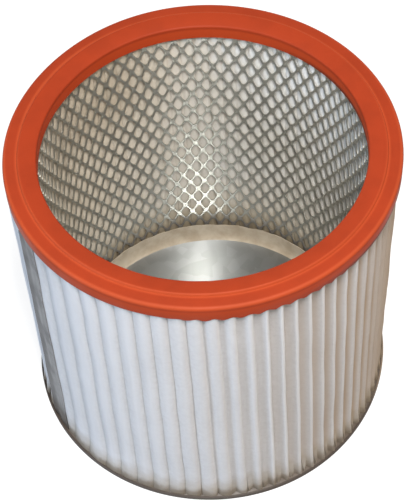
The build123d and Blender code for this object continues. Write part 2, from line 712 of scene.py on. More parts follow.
@dataclass(frozen=True)
class NonWoven(CloudyFinish):
    """White fibrous sheet, resin drawn up its foot and dust in its folds; painted highlights on its
    crowns, painted shade on the right side and inside, and a painted shadow under the ring.
    """

    name: str = "white_nonwoven"
    grain_scale: float = 1500.0
    grain_stretch: float = 0.35
    grain_depth: float = 0.25 * MM
    grain_strength: float = 0.35
    roughness: float = 0.9
    gloss: float = 0.2
    glow: float = 0.4
    glow_tint: tuple[float, float, float] = (1.0, 0.95, 0.9)
    glow_depth: float = 4.0 * MM
    fold: Span = (TIP_RADIUS - 1.0 * MM, VALLEY_RADIUS + 3.0 * MM)
    hollow: Span = (TIP_RADIUS - 0.8 * MM, TIP_RADIUS - 4.0 * MM)
    outside: Span = (VALLEY_RADIUS + 2.0 * MM, VALLEY_RADIUS + 5.0 * MM)

    # Cloth of the outside, and painted highlights on the crowns of its pleats
    base: Colour = srgb(219, 219, 222)
    patch: Colour = srgb(209, 208, 211)
    patch_scale: float = 420.0
    patch_share: float = 0.7
    streak_stretch: float = 0.03
    streak_edge: Span = (0.65, 1.0)
    streak_share: float = 0.35
    crown_highlight: Colour = srgb(236, 236, 241)
    crown_highlight_width: Span = (TIP_RADIUS - 1.5 * MM, TIP_RADIUS)
    crown_highlight_share: float = 0.9
    front_loss: float = 0.6
    front_left: Span = (-50.0 * MM, -5.0 * MM)
    front_right: Span = (45.0 * MM, 10.0 * MM)

    # Inner side, seen through the mesh, with painted shade on the left, towards the foot and at the
    # upper left
    clean: Colour = srgb(245, 243, 239)
    lining_shade: Colour = srgb(217, 206, 189)
    lining_shade_across: Span = (60.0 * MM, -80.0 * MM)
    lining_shade_levels: Span = (80.0 * MM, 10.0 * MM)
    upper_left_shade: Colour = srgb(190, 178, 160)
    upper_left_shade_levels: Span = (95.0 * MM, 135.0 * MM)
    upper_left_shade_across: Span = (-5.0 * MM, -50.0 * MM)
    upper_left_shade_back: Span = (15.0 * MM, 50.0 * MM)

    # Dust in the folds, and painted shade on the right side
    dust: Colour = srgb(226, 216, 198)
    dust_scale: float = 38.0
    dust_edge: Span = (0.25, 0.8)
    dust_share: float = 0.35
    right_side_shade: Colour = srgb(182, 160, 138)
    right_side_shade_across: Span = (0.0, 82.0 * MM)
    right_side_shade_far: Span = (55.0 * MM, 100.0 * MM)
    hollow_shade: float = 0.9
    tip_shade: float = 0.1

    # Resin and soil at the foot, painted shadow under the ring
    ragged_scale: float = 75.0
    ragged_height: float = 14.0 * MM
    wick: Colour = srgb(152, 138, 115)
    wick_levels: Span = (30.0 * MM, 6.0 * MM)
    wick_depth: float = 11.0 * MM
    wick_share: float = 0.95
    soil_and_shade: Colour = srgb(102, 90, 80)
    soil_and_shade_levels: Span = (16.1 * MM, 10.6 * MM)
    soil_ragged: float = 0.8
    soil_and_shade_share: float = 0.56
    ring_shadow_levels: Span = (RING_UNDER - 3.0 * MM, RING_UNDER)
    ring_shadow_across: Span = (20.0 * MM, 70.0 * MM)

    def material(self) -> bpy.types.Material:
        """Draws the material.

        Returns:
            The white of the pleated sheet, with its dirt.
        """
        material, sheet, shader = self.start()
        spot = sheet.spot()
        outside = sheet.fade(spot.radius, self.outside)
        depth = sheet.fade(spot.radius, self.fold)
        colour = sheet.mix(outside, self.lining(sheet, spot), self.cloth(sheet))
        # Painted highlights on the crowns of the pleats
        colour = self.paint_crown_highlights(sheet, spot, colour)
        patch = sheet.fade(sheet.noise(spot.place, self.dust_scale), self.dust_edge)
        dusty = sheet.times(sheet.times(depth, patch), self.dust_share)
        colour = sheet.mix(dusty, colour, self.dust)
        # Painted warm shade on the right side, deepest between the pleats
        colour = self.paint_right_side_shade(sheet, spot, colour, outside)
        colour = self.soiled_and_shaded(sheet, spot, colour, outside, depth)
        sheet.join(colour, shader, "Base Color")
        shader.inputs["Roughness"].default_value = self.roughness
        shader.inputs["Specular IOR Level"].default_value = self.gloss
        shader.inputs["Subsurface Weight"].default_value = self.glow
        shader.inputs["Subsurface Radius"].default_value = self.glow_tint
        shader.inputs["Subsurface Scale"].default_value = self.glow_depth
        return material

    def cloth(self, sheet: NodeSheet) -> bpy.types.NodeSocket:
        """Colour of the outside, with its fibres and streaks.

        Args:
            sheet: the material's sheet.

        Returns:
            The colour.
        """
        colour, _ = self.cloud(sheet)
        streak = self.grain(sheet, self.patch_scale, self.streak_stretch)
        lined = sheet.times(sheet.fade(streak, self.streak_edge), self.streak_share)
        return sheet.mix(lined, colour, self.patch)

    def lining(self, sheet: NodeSheet, spot: Spot) -> bpy.types.NodeSocket:
        """Colour of the inner side, with painted shade on the left, towards the foot and at the
        upper left.

        Args:
            sheet: the material's sheet.
            spot: where the point is.

        Returns:
            The colour.
        """
        # Painted warm shade on the left and towards the foot
        lining_shaded = sheet.fade(spot.x, self.lining_shade_across)
        lining_shaded = sheet.most(lining_shaded, sheet.fade(spot.z, self.lining_shade_levels))
        # Painted shade at the upper left
        dull = sheet.times(
            sheet.fade(spot.z, self.upper_left_shade_levels), sheet.fade(spot.x, self.upper_left_shade_across),
        )
        dull = sheet.times(dull, sheet.fade(spot.y, self.upper_left_shade_back))
        return sheet.mix(dull, sheet.mix(lining_shaded, self.clean, self.lining_shade), self.upper_left_shade)

    def paint_crown_highlights(
        self, sheet: NodeSheet, spot: Spot, colour: bpy.types.NodeSocket,
    ) -> bpy.types.NodeSocket:
        """Paints highlights on the crowns of the pleats, weaker at the front.

        Args:
            sheet: the material's sheet.
            spot: where the point is.
            colour: the colour so far.

        Returns:
            The colour with its painted highlights.
        """
        crown_highlight = sheet.fade(spot.radius, self.crown_highlight_width)
        front = sheet.times(
            sheet.fade(spot.x, self.front_left), sheet.fade(spot.x, self.front_right),
        )
        share = sheet.line(front, -self.front_loss, self.crown_highlight_share)
        return sheet.mix(sheet.times(crown_highlight, share), colour, self.crown_highlight)

    def paint_right_side_shade(
        self, sheet: NodeSheet, spot: Spot, colour: bpy.types.NodeSocket,
        outside: bpy.types.NodeSocket,
    ) -> bpy.types.NodeSocket:
        """Paints warm shade on the right side, most of all between the pleats.

        Args:
            sheet: the material's sheet.
            spot: where the point is.
            colour: the colour so far.
            outside: 1 outside and 0 on the inner side.

        Returns:
            The colour with its painted shade.
        """
        hollow = sheet.fade(spot.radius, self.hollow)
        deep = sheet.line(hollow, self.hollow_shade, self.tip_shade)
        deep = sheet.most(deep, sheet.fade(spot.x, self.right_side_shade_far))
        right = sheet.times(sheet.fade(spot.x, self.right_side_shade_across), outside)
        return sheet.mix(sheet.times(right, deep), colour, self.right_side_shade)

    def soiled_and_shaded(
        self, sheet: NodeSheet, spot: Spot, colour: bpy.types.NodeSocket,
        outside: bpy.types.NodeSocket, depth: bpy.types.NodeSocket,
    ) -> bpy.types.NodeSocket:
        """Draws the resin up the foot, soils the foot, and paints shadow along the edge under the
        ring.

        Args:
            sheet: the material's sheet.
            spot: where the point is.
            colour: the colour so far.
            outside: 1 outside and 0 on the inner side.
            depth: 0 at the tips and 1 in the valleys.

        Returns:
            The colour with its resin, soil and painted shadow.
        """
        ragged = sheet.times(
            sheet.noise(spot.place, self.ragged_scale, detail=4.0), self.ragged_height,
        )
        raised = sheet.math("ADD", spot.z, ragged)
        level = sheet.math("SUBTRACT", raised, sheet.times(depth, self.wick_depth))
        wicked = sheet.times(sheet.fade(level, self.wick_levels), self.wick_share)
        colour = sheet.mix(wicked, colour, self.wick)
        uneven = sheet.line(ragged, self.soil_ragged, spot.z)
        # Painted shadow along the edge under the ring, on the right
        under_ring_shadow = sheet.times(
            sheet.fade(spot.z, self.ring_shadow_levels), sheet.fade(spot.x, self.ring_shadow_across),
        )
        foot_soil_and_ring_shadow = sheet.most(sheet.fade(uneven, self.soil_and_shade_levels), sheet.times(under_ring_shadow, outside))
        return sheet.mix(sheet.times(foot_soil_and_ring_shadow, self.soil_and_shade_share), colour, self.soil_and_shade)


@dataclass(frozen=True)
class ZincSteel(Finish):
    """Galvanised steel with its crystals, dirt and painted shade on its rim, and a film at its
    foot.
    """

    name: str = "zinc_steel"
    grain_scale: float = 1200.0
    grain_depth: float = 0.06 * MM
    grain_strength: float = 0.05
    light: Colour = srgb(187, 191, 194)
    dark: Colour = srgb(165, 169, 171)
    crystal_scale: float = 140.0
    roughness: float = 0.28
    roughness_spread: float = 0.06
    soil_roughness: float = 0.4
    metal: float = 1.0
    turned: float = 0.85

    # Dirt and painted shade near the rim, and film at the foot, which lie outside the piece unless
    # they are moved
    grime_and_shade: Colour = srgb(71, 62, 56)
    dried: Colour = srgb(128, 113, 98)
    dried_across: Span = (82.0 * MM, 93.0 * MM)
    grime_and_shade_radii: Span = (200.0 * MM, 202.0 * MM)
    film_levels: Span = (0.0, -12.0 * MM)
    film_share: float = 0.8

    def material(self) -> bpy.types.Material:
        """Draws the material.

        Returns:
            The steel.
        """
        material, sheet, shader = self.start()
        spot = sheet.spot()
        crystal = sheet.add(
            "ShaderNodeGroup", {"Scale": self.crystal_scale}, node_tree=self.effects.spangle,
        )
        shade = crystal.outputs["Shade"]
        film = sheet.times(sheet.fade(spot.z, self.film_levels), self.film_share)
        # Dark near the rim: dirt and painted shade
        soiled_and_shaded = sheet.most(sheet.fade(spot.radius, self.grime_and_shade_radii), film)
        dirt_and_shade = sheet.mix(sheet.fade(spot.x, self.dried_across), self.grime_and_shade, self.dried)
        colour = sheet.mix(soiled_and_shaded, sheet.mix(shade, self.dark, self.light), dirt_and_shade)
        sheet.join(colour, shader, "Base Color")
        rough = sheet.line(shade, self.roughness_spread, self.roughness)
        rough = sheet.math("ADD", rough, sheet.times(soiled_and_shaded, self.soil_roughness))
        sheet.join(rough, shader, "Roughness")
        bright = sheet.times(sheet.math("SUBTRACT", 1.0, soiled_and_shaded), self.metal)
        sheet.join(bright, shader, "Metallic")
        shader.inputs["Anisotropic"].default_value = self.turned
        sheet.join(sheet.vector("NORMALIZE", spot.flat).outputs[0], shader, "Tangent")
        return material


@dataclass(frozen=True)
class CastResin(CloudyFinish):
    """Beige casting resin, slightly glossy, uneven in colour and soiled near the rim."""

    name: str = "cast_resin"
    grain_scale: float = 260.0
    grain_depth: float = 0.4 * MM
    grain_strength: float = 0.3
    base: Colour = srgb(176, 164, 146)
    patch: Colour = srgb(152, 138, 118)
    patch_scale: float = 90.0
    patch_share: float = 0.9
    soil_and_shade: Colour = srgb(80, 70, 61)
    soil_radii: Span = (84.0 * MM, 88.0 * MM)
    roughness: float = 0.42
    patch_roughness: float = 0.2

    def material(self) -> bpy.types.Material:
        """Draws the material.

        Returns:
            The resin.
        """
        material, sheet, shader = self.start()
        spot = sheet.spot()
        colour, mask = self.cloud(sheet)
        colour = sheet.mix(sheet.fade(spot.radius, self.soil_radii), colour, self.soil_and_shade)
        sheet.join(colour, shader, "Base Color")
        self.dull(sheet, shader, mask)
        return material


@dataclass(frozen=True)
class GreyStrip(CloudyFinish):
    """Dull grey coat of the seam strip, streaked along its length and soiled at its foot."""

    name: str = "grey_strip"
    grain_scale: float = 500.0
    grain_stretch: float = 0.03
    grain_depth: float = 0.1 * MM
    grain_strength: float = 0.3
    base: Colour = srgb(154, 153, 153)
    patch: Colour = srgb(104, 102, 102)
    patch_scale: float = 70.0
    patch_share: float = 0.7
    streak_edge: Span = (0.6, 1.1)
    streak_share: float = 0.5
    shade_across: Span = (3.0 * MM, -4.0 * MM)
    shade_share: float = 0.8
    soil_and_shade: Colour = srgb(50, 42, 36)
    soil_and_shade_levels: Span = (30.0 * MM, 15.0 * MM)
    soil_ragged: float = 9.0 * MM
    soil_and_shade_share: float = 0.9
    roughness: float = 0.5
    patch_roughness: float = 0.2
    gloss: float = 0.15

    def material(self) -> bpy.types.Material:
        """Draws the material.

        Returns:
            The grey of the strip.
        """
        material, sheet, shader = self.start()
        spot = sheet.spot()
        colour, mask = self.cloud(sheet)
        streak = self.grain(sheet, self.grain_scale, self.grain_stretch)
        streaked = sheet.times(sheet.fade(streak, self.streak_edge), self.streak_share)
        along = polar(1.0, SEAM_ANGLE + 90)
        across = sheet.vector("DOT_PRODUCT", spot.place, along).outputs["Value"]
        shaded = sheet.times(sheet.fade(across, self.shade_across), self.shade_share)
        raised = sheet.math("ADD", spot.z, sheet.times(mask, self.soil_ragged))
        soiled_and_shaded = sheet.times(sheet.fade(raised, self.soil_and_shade_levels), self.soil_and_shade_share)
        colour = sheet.mix(streaked, colour, self.patch)
        colour = sheet.mix(shaded, colour, self.patch)
        colour = sheet.mix(soiled_and_shaded, colour, self.soil_and_shade)
        sheet.join(colour, shader, "Base Color")
        self.dull(sheet, shader, mask)
        shader.inputs["Specular IOR Level"].default_value = self.gloss
        return material


# Pieces

@dataclass
class Piece:
    """A piece of the filter that stands for one CAD node."""

    finish: Finish
    node: str = ""
    slot: Slot = Slot.RING

    def build(self) -> bpy.types.Object:
        """Models the piece."""
        raise NotImplementedError

    def dress(self, piece: bpy.types.Object) -> None:
        """Gives the piece its material, and joins it to the frame.

        Args:
            piece: the finished mesh.
        """
        piece.data.materials.clear()
        piece.data.materials.append(self.finish.material())
        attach(piece, BODY)
        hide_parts(self.node)
        log.info("%s: %d faces", piece.name, len(piece.data.polygons))


@dataclass
class EndRing(Piece):
    """Moulded ring: sloping band, crest, shelf, round edge and the flash between the pleats."""

    node: str = "end_ring"
    slot: Slot = Slot.RING
    sides: int = 432
    radius: float = 95.0 * MM
    under: float = RING_UNDER
    shelf_level: float = 173.7 * MM
    crest_rise: float = 1.3 * MM
    crest_inset: float = 7.5 * MM
    step_run: float = 0.6 * MM
    band_fall: float = 1.8 * MM
    bore_radius: float = 78.81 * MM
    bore_wall: float = 2.0 * MM
    bore_draft: float = 0.4 * MM

    # Rounds of the edges and the flats in each
    edge_round: float = 1.8 * MM
    edge_flats: int = 5
    under_round: float = 0.5 * MM
    under_flats: int = 3
    crest_round: float = 0.55 * MM
    bore_round: float = 0.9 * MM
    crest_flats: int = 4

    # Flash underneath, which hangs between the tips of the pleats at the front
    flash_setback: float = 1.1 * MM
    flash_depth: float = 1.7 * MM
    flash_draft: float = 0.3 * MM
    tips: tuple[float, ...] = ()
    hang: float = 1.3 * MM
    hang_start: float = 256.0
    hang_end: float = 319.0
    hang_ease: float = 12.0
    hang_gap: Span = (0.5, 2.0)

    # Dent at the back left
    dent_angle: float = 140.0
    dent_width: float = 28.0
    dent_depth: float = 0.9 * MM
    smooth_angle: float = 40.0

    def build(self) -> bpy.types.Object:
        """Models the ring from one cylinder.

        Returns:
            The ring.
        """
        crest = self.shelf_level + self.crest_rise
        crest_radius = self.radius - self.crest_inset
        flash = self.radius - self.flash_setback - self.flash_draft
        ring = add_cylinder(
            "moulded_end_ring", self.radius, self.under, self.shelf_level, self.sides,
        )
        with editing(ring):
            pick(Domain.FACE, faces_up)
            bpy.ops.mesh.inset(thickness=self.crest_inset - self.step_run, depth=0)
            bpy.ops.mesh.inset(thickness=self.step_run, depth=self.crest_rise)
            bpy.ops.mesh.inset(thickness=crest_radius - self.bore_radius, depth=-self.band_fall)
            bpy.ops.mesh.delete(type="FACE")
            pick(Domain.FACE, faces_down)
            bpy.ops.mesh.inset(thickness=self.flash_setback, depth=0)
            bpy.ops.mesh.inset(thickness=self.flash_draft, depth=self.flash_depth)
            bpy.ops.mesh.inset(thickness=flash - self.bore_radius - self.bore_wall, depth=0)
            bpy.ops.mesh.inset(thickness=self.bore_draft, depth=-self.flash_depth)
            bpy.ops.mesh.inset(thickness=self.bore_wall - self.bore_draft, depth=0)
            bpy.ops.mesh.delete(type="FACE")
            pick(Domain.EDGE, lambda place, way: reach(place) < self.bore_radius + NEAR)
            bpy.ops.mesh.bridge_edge_loops()
            self.round_edge(self.radius, self.shelf_level, self.edge_round, self.edge_flats)
            self.round_edge(self.radius, self.under, self.under_round, self.under_flats)
            self.round_edge(crest_radius, crest, self.crest_round, self.crest_flats)
            band_edge = crest - self.band_fall
            self.round_edge(self.bore_radius, band_edge, self.bore_round, self.crest_flats)
        merge_and_face_out(ring)
        self.hang_flash(ring)
        press_in(ring, self.dent_angle, self.dent_width, self.dent_depth)
        smooth(ring, self.smooth_angle)
        return ring

    def hang_flash(self, ring: bpy.types.Object) -> None:
        """Lets the lower edge hang a little between the tips of the pleats at the front.

        Args:
            ring: the ring with its edges rounded.
        """
        tips = np.array(self.tips)
        for vert in ring.data.vertices:
            angle = bearing(vert.co) % 360
            low = vert.co.z < self.under + self.under_round + NEAR
            outer = reach(vert.co) > self.radius - self.flash_setback - NEAR
            if low and outer and self.hang_start < angle < self.hang_end:
                off = np.abs(off_angle(tips, angle)).min()
                ends = min(angle - self.hang_start, self.hang_end - angle) / self.hang_ease
                vert.co.z -= self.hang * min(1.0, ends) * np.interp(off, self.hang_gap, (0, 1))

    def round_edge(self, radius: float, height: float, size: float, segments: int) -> None:
        """Rounds one edge loop of the ring in edit mode.

        Args:
            radius: the loop's distance from the axis.
            height: the loop's level.
            size: how far the round reaches from the edge.
            segments: flats in the round.
        """
        pick(
            Domain.EDGE,
            lambda place, way: abs(reach(place) - radius) < NEAR and abs(place.z - height) < NEAR,
        )
        bpy.ops.mesh.bevel(offset=size, segments=segments, affect="EDGES", profile=0.5)


@dataclass
class PleatedMedia(Piece):
    """One sheet folded into upright pleats, gathered unevenly from the seam.

    Angles along the curves are counted from the seam, and a share is 0 at the
    valleys and 1 at the tips.
    """

    node: str = "pleated_media"
    slot: Slot = Slot.MEDIA
    count: int = 72
    foot: float = BED_LEVEL
    head: float = RING_UNDER
    sheet: float = 0.7 * MM
    tip_bend: float = 0.8 * MM
    valley_bend: float = 1.05 * MM
    bend_steps: int = 6
    flank_cuts: int = 5
    flank_near: float = 2.0 * MM
    rows: int = 14
    smooth_angle: float = 50.0

    # How far the pleats move round the axis, and how much their valleys stay behind
    gather: Curve = (
        (0, 0), (5, 4.1), (14, 8.7), (28, 11.0), (45, 11.3), (64, 11.2), (100, 6.9), (180, 3.6),
        (360, 0),
    )
    lean: Curve = (
        (0, 0.5), (20, 5), (52, 5), (66, 3.5), (85, 2.5), (110, 1.5), (360, 0.5),
    )

    # Pleats beside the seam puff up to broad crowns
    puff: Curve = ((0, 1), (36, 1), (48, 0.7), (58, 0.25), (66, 0), (345, 0), (360, 1))
    puff_shares: Curve = ((0.1, 0), (0.3, 0.15), (0.5, 0.35), (0.71, 0.5), (0.9, 1))
    swell_ahead: float = 4.8
    swell_behind: float = 6.4
    saw: float = 0.2 * MM
    ridge: float = 0.9 * MM
    foot_ease: float = 0.7

    # Flanks of the others spread until the grooves have shallow floors
    fill: Curve = (
        (0, 0), (24, 0), (36, 0.8), (48, 1), (150, 1), (200, 0.6), (340, 0.6), (350, 0), (360, 0),
    )
    fill_shares: Curve = ((0.13, 0), (0.3, 0.3), (0.5, 0.8), (0.64, 1), (0.77, 0.3), (0.9, 0))
    fill_reach: float = 0.97
    floor_lift: Curve = (
        (0, 3.6 * MM), (42, 3.6 * MM), (58, 3.0 * MM), (68, 2.0 * MM), (80, 1.1 * MM),
        (95, 0.3 * MM), (360, 0.0),
    )
    valley_swell: float = 3.5
    valley_shares: Curve = ((0.1, 1), (0.3, 0))

    # Feet spread into the resin
    flare: float = 0.9 * MM
    flare_top: float = 14.0 * MM
    flare_share: float = 0.8
    flare_start: float = 4.0
    flare_run: float = 6.0
    foot_fill: float = 0.95

    # Tips under the seam strip lie a little lower, and the dent eases towards the ring
    seam_press: float = 0.1 * MM
    seam_width: float = 7.0
    seam_reach: float = 1.5
    seam_share: float = 0.5
    squeeze_ease: float = 0.3

    # Pleats on the right stand aslant
    slant: float = 3.0
    slant_middle: float = 95.0
    slant_width: float = 75.0

    def build(self) -> bpy.types.Object:
        """Models one pleat, repeats it and gathers the pack.

        Returns:
            The pleated sheet.
        """
        pleat = self.fold_pleat()
        array_round(pleat, self.count, self.pitch, SEAM_ANGLE + self.pitch / 2)
        merge_and_face_out(pleat)
        self.gather_pack(pleat)
        wave(pleat)
        use_modifier(pleat, "SOLIDIFY", thickness=self.sheet, offset=0.0)
        smooth(pleat, self.smooth_angle)
        return pleat

    @property
    def pitch(self) -> float:
        """Angle from one pleat to the next before they are gathered."""
        return 360.0 / self.count

    def tip_angles(self) -> tuple[float, ...]:
        """Where the tips are under the ring, after the pack is gathered.

        Returns:
            Their angles about the axis, in degrees.
        """
        middles = (np.arange(self.count) + 0.5) * self.pitch
        return tuple((SEAM_ANGLE + middles + follow(self.gather, middles)) % 360)

    def fold_pleat(self) -> bpy.types.Object:
        """Models one pleat: half a valley, a flank, the tip, the other flank, half a valley.

        Returns:
            The pleat, its tip on +X.
        """
        tip = polar(TIP_RADIUS - self.tip_bend - self.sheet / 2, 0)
        valley = polar(VALLEY_RADIUS + self.valley_bend + self.sheet / 2, self.pitch / 2)
        along = (valley - tip).normalized()
        lean = (self.tip_bend + self.valley_bend) / (valley - tip).length
        normal = along * lean + Vector((along.y, -along.x, 0)) * math.sqrt(1 - lean * lean)
        outer = tip + normal * self.tip_bend
        inner = valley - normal * self.valley_bend
        way = outer - inner
        middle = (outer + inner) / 2
        middle.z = (self.foot + self.head) / 2
        bpy.ops.object.select_all(action="DESELECT")
        bpy.ops.mesh.primitive_plane_add(
            size=1, location=middle, rotation=(math.pi / 2, 0, math.atan2(way.y, way.x)),
        )
        bpy.context.active_object.scale = (way.length, self.head - self.foot, 1)
        pleat = named("pleated_sheet")
        turn = math.atan2(normal.y, normal.x)
        half_valley = math.radians(self.pitch / 2) - turn
        halfway = (TIP_RADIUS + VALLEY_RADIUS) / 2
        with editing(pleat):
            self.pick_upright(outer)
            self.bend(tip, 2 * turn, self.bend_steps)
            flank = self.mirrored(inner) - self.mirrored(outer)
            bpy.ops.mesh.extrude_edges_move(TRANSFORM_OT_translate={"value": flank})
            self.pick_upright(self.mirrored(inner))
            self.bend(self.mirrored(valley), half_valley, self.bend_steps // 2)
            self.pick_upright(inner)
            self.bend(valley, -half_valley, self.bend_steps // 2)
            pick(
                Domain.EDGE,
                lambda place, way: lies_level(place, way)
                and abs(reach(place) - halfway) < self.flank_near,
            )
            bpy.ops.mesh.subdivide(number_cuts=self.flank_cuts)
            pick(Domain.EDGE, stands_upright)
            bpy.ops.mesh.subdivide(number_cuts=self.rows - 1)
        return pleat

    @staticmethod
    def mirrored(point: Vector) -> Vector:
        """The same point on the other side of the tip."""
        return Vector((point.x, -point.y, 0))

    @staticmethod
    def pick_upright(near: Vector) -> None:
        """Selects the upright edge that stands at a point.

        Args:
            near: the point.
        """
        pick(
            Domain.EDGE,
            lambda place, way: stands_upright(place, way)
            and math.dist(place.xy, near.xy) < NEAR,
        )

    @staticmethod
    def bend(centre: Vector, angle: float, steps: int) -> None:
        """Carries the selected edge round a centre, as a fold of the sheet."""
        bpy.ops.mesh.spin(steps=steps, angle=angle, center=centre, axis=(0, 0, 1))

    def gather_pack(self, pleat: bpy.types.Object) -> None:
        """Moves the even pleats to where they stand in the used filter.

        They are wide and puffed at the seam, closer away from it, and aslant on the right.

        Args:
            pleat: the even pack of pleats.
        """
        places = np.zeros(len(pleat.data.vertices) * 3)
        pleat.data.vertices.foreach_get("co", places)
        places = places.reshape(-1, 3)
        height = places[:, 2]
        radius = np.hypot(places[:, 0], places[:, 1])
        angle = np.degrees(np.arctan2(places[:, 1], places[:, 0]))
        from_seam = (angle - SEAM_ANGLE) % 360
        share = (radius - VALLEY_RADIUS) / (TIP_RADIUS - VALLEY_RADIUS)
        middle = (np.floor(from_seam / self.pitch) + 0.5) * self.pitch
        fill = follow(self.fill, from_seam) * follow(self.fill_shares, share)
        puff = follow(self.puff, from_seam) * follow(self.puff_shares, share)
        side = self.spread_flanks(from_seam - middle, share, fill, puff)
        radius = self.shape_depth(radius, side, share, fill, puff, from_seam, height)
        angle = angle + middle + side - from_seam
        from_seam = middle + side
        shift = follow(self.gather, from_seam) - follow(self.lean, from_seam) * (1 - share)
        fall = (self.head - height) / (self.head - self.foot)
        aslant = np.exp(-(((from_seam - self.slant_middle) / self.slant_width) ** 2) * 2)
        turned = np.radians(angle + shift + self.slant * aslant * fall)
        places[:, 0] = radius * np.cos(turned)
        places[:, 1] = radius * np.sin(turned)
        pleat.data.vertices.foreach_set("co", places.ravel())
        pleat.data.update()

    def spread_flanks(
        self, side: np.ndarray, share: np.ndarray, fill: np.ndarray, puff: np.ndarray,
    ) -> np.ndarray:
        """Spreads the flanks of each pleat sideways.

        Args:
            side: angle of each point from the middle of its pleat.
            share: how far out each point is.
            fill: how far its flank spreads to a groove's floor.
            puff: how far its flank puffs.

        Returns:
            The new angles from the middles.
        """
        half = self.pitch / 2
        spread = 1 + (self.valley_swell - 1) * follow(self.valley_shares, share)
        swell = np.where(side > 0, self.swell_ahead, self.swell_behind) - 1
        side = np.copysign(half - spread * (half - np.abs(side)), side)
        side = side * (1 + swell * puff)
        return side + np.copysign(fill * np.maximum(self.fill_reach * half - np.abs(side), 0), side)

    def shape_depth(
        self, radius: np.ndarray, side: np.ndarray, share: np.ndarray, fill: np.ndarray,
        puff: np.ndarray, from_seam: np.ndarray, height: np.ndarray,
    ) -> np.ndarray:
        """Moves the points of the sheet in or out.

        Args:
            radius: distance of each point from the axis.
            side: angle of each point from the middle of its pleat.
            share: how far out each point is.
            fill: how far its flank spreads to a groove's floor.
            puff: how far its flank puffs.
            from_seam: angle of each point from the seam.
            height: level of each point.

        Returns:
            The new distances from the axis.
        """
        half = self.pitch / 2
        footing = np.clip(1 - (height - self.foot) / self.flare_top, 0, 1) ** 2
        near_seam = np.minimum(from_seam, 360 - from_seam)
        sunk = self.saw * (half - side) / self.pitch + self.ridge * np.abs(side) / half
        radius = radius - puff * sunk * (1 - self.foot_ease * footing)
        radius = radius + fill * follow(self.floor_lift, from_seam)
        clear = np.clip((near_seam - self.flare_start) / self.flare_run, 0, 1)
        radius = radius + self.flare * footing * (share > self.flare_share) * clear
        radius = radius + self.foot_fill * fill * footing * np.maximum(TIP_RADIUS - radius, 0)
        squeezed = np.exp(-(((from_seam + SEAM_ANGLE - DENT_ANGLE) / DENT_WIDTH) ** 2))
        eased = 1 - self.squeeze_ease * height / self.head
        radius = radius - DENT_DEPTH * squeezed * share * eased
        pressed = np.clip(self.seam_reach - near_seam / self.seam_width, 0, 1)
        return radius - self.seam_press * pressed * (share > self.seam_share)


@dataclass
class SupportMesh(Piece):
    """Tube of expanded metal with a diamond gap between its strands."""

    node: str = "support_mesh"
    slot: Slot = Slot.MESH
    radius: float = 79.7 * MM
    wall: float = 0.55 * MM
    columns: int = 64
    rows: int = 13
    row_pitch: float = 13.2 * MM
    strand: float = 1.0 * MM
    gap_round: float = 1.9 * MM
    gap_flats: int = 2
    twist: float = 0.2 * MM
    diamond_angle: float = 92.6
    diamond_level: float = 156.6 * MM
    foot: float = BED_LEVEL
    head: float = RING_UNDER
    knuckle_merge: float = 0.09 * MM
    smooth_angle: float = 35.0

    def build(self) -> bpy.types.Object:
        """Models one diamond, repeats it up and round, and gives the net its thickness.

        Returns:
            The tube of mesh.
        """
        pitch = 360.0 / self.columns
        net = self.diamond("expanded_metal_tube", 0.0, 0.0)
        shifted = self.diamond("shifted_diamonds", pitch / 2, -self.row_pitch / 2)
        select_only(net, shifted)
        bpy.ops.object.join()
        use_modifier(
            net, "ARRAY", count=self.rows + 1, use_relative_offset=False, use_constant_offset=True,
            constant_offset_displace=(0, 0, -self.row_pitch), use_merge_vertices=True,
            merge_threshold=TOUCH,
        )
        array_round(net, self.columns, pitch, self.diamond_angle)
        merge_and_face_out(net, self.knuckle_merge)
        self.trim(net)
        self.roll(net)
        self.twist_strands(net)
        use_modifier(net, "SOLIDIFY", thickness=self.wall, offset=0.0)
        smooth(net, self.smooth_angle)
        return net

    def diamond(self, name: str, angle: float, rise: float) -> bpy.types.Object:
        """Models one gap with half of each strand round it.

        Args:
            name: the object's name.
            angle: where it is round the tube, in degrees.
            rise: how much higher it is than the first diamond.

        Returns:
            The frame of four half strands.
        """
        half_width = self.radius * math.tan(math.pi / self.columns)
        place = polar(self.radius, angle, self.diamond_level + self.row_pitch + rise)
        bpy.ops.object.select_all(action="DESELECT")
        bpy.ops.mesh.primitive_circle_add(
            vertices=4, radius=1, fill_type="NGON", location=place,
            rotation=(math.pi / 2, 0, math.radians(angle + 90)),
        )
        bpy.context.active_object.scale = (half_width, self.row_pitch / 2, 1)
        cell = named(name)
        with editing(cell):
            bpy.ops.mesh.select_all(action="SELECT")
            bpy.ops.mesh.inset(thickness=self.strand / 2, depth=0)
            bpy.ops.mesh.bevel(offset=self.gap_round, segments=self.gap_flats, affect="VERTICES")
            pick(Domain.FACE, lambda spot, way: (spot - place).length < NEAR)
            bpy.ops.mesh.delete(type="FACE")
        self.roll(cell)
        return cell

    def roll(self, net: bpy.types.Object) -> None:
        """Rolls a flat net onto the tube's cylinder."""
        use_modifier(
            net, "CAST", cast_type="CYLINDER", factor=1.0, size=self.radius,
            use_radius_as_size=False, use_z=False,
        )

    def trim(self, net: bpy.types.Object) -> None:
        """Cuts the net off level at its head and foot.

        Args:
            net: the net, longer than the tube.
        """
        with editing(net):
            for level, way in ((self.head, 1), (self.foot, -1)):
                bpy.ops.mesh.select_all(action="SELECT")
                bpy.ops.mesh.bisect(
                    plane_co=(0, 0, level), plane_no=(0, 0, way), clear_outer=True,
                )

    def twist_strands(self, net: bpy.types.Object) -> None:
        """Tips every knuckle a little, as the press leaves it.

        Args:
            net: the thin net on its cylinder.
        """
        for vert in net.data.vertices:
            phase = (vert.co.z - self.diamond_level) / (self.row_pitch / 2)
            inwards = self.twist * math.sin(2 * math.pi * phase)
            vert.co -= polar(inwards, bearing(vert.co))


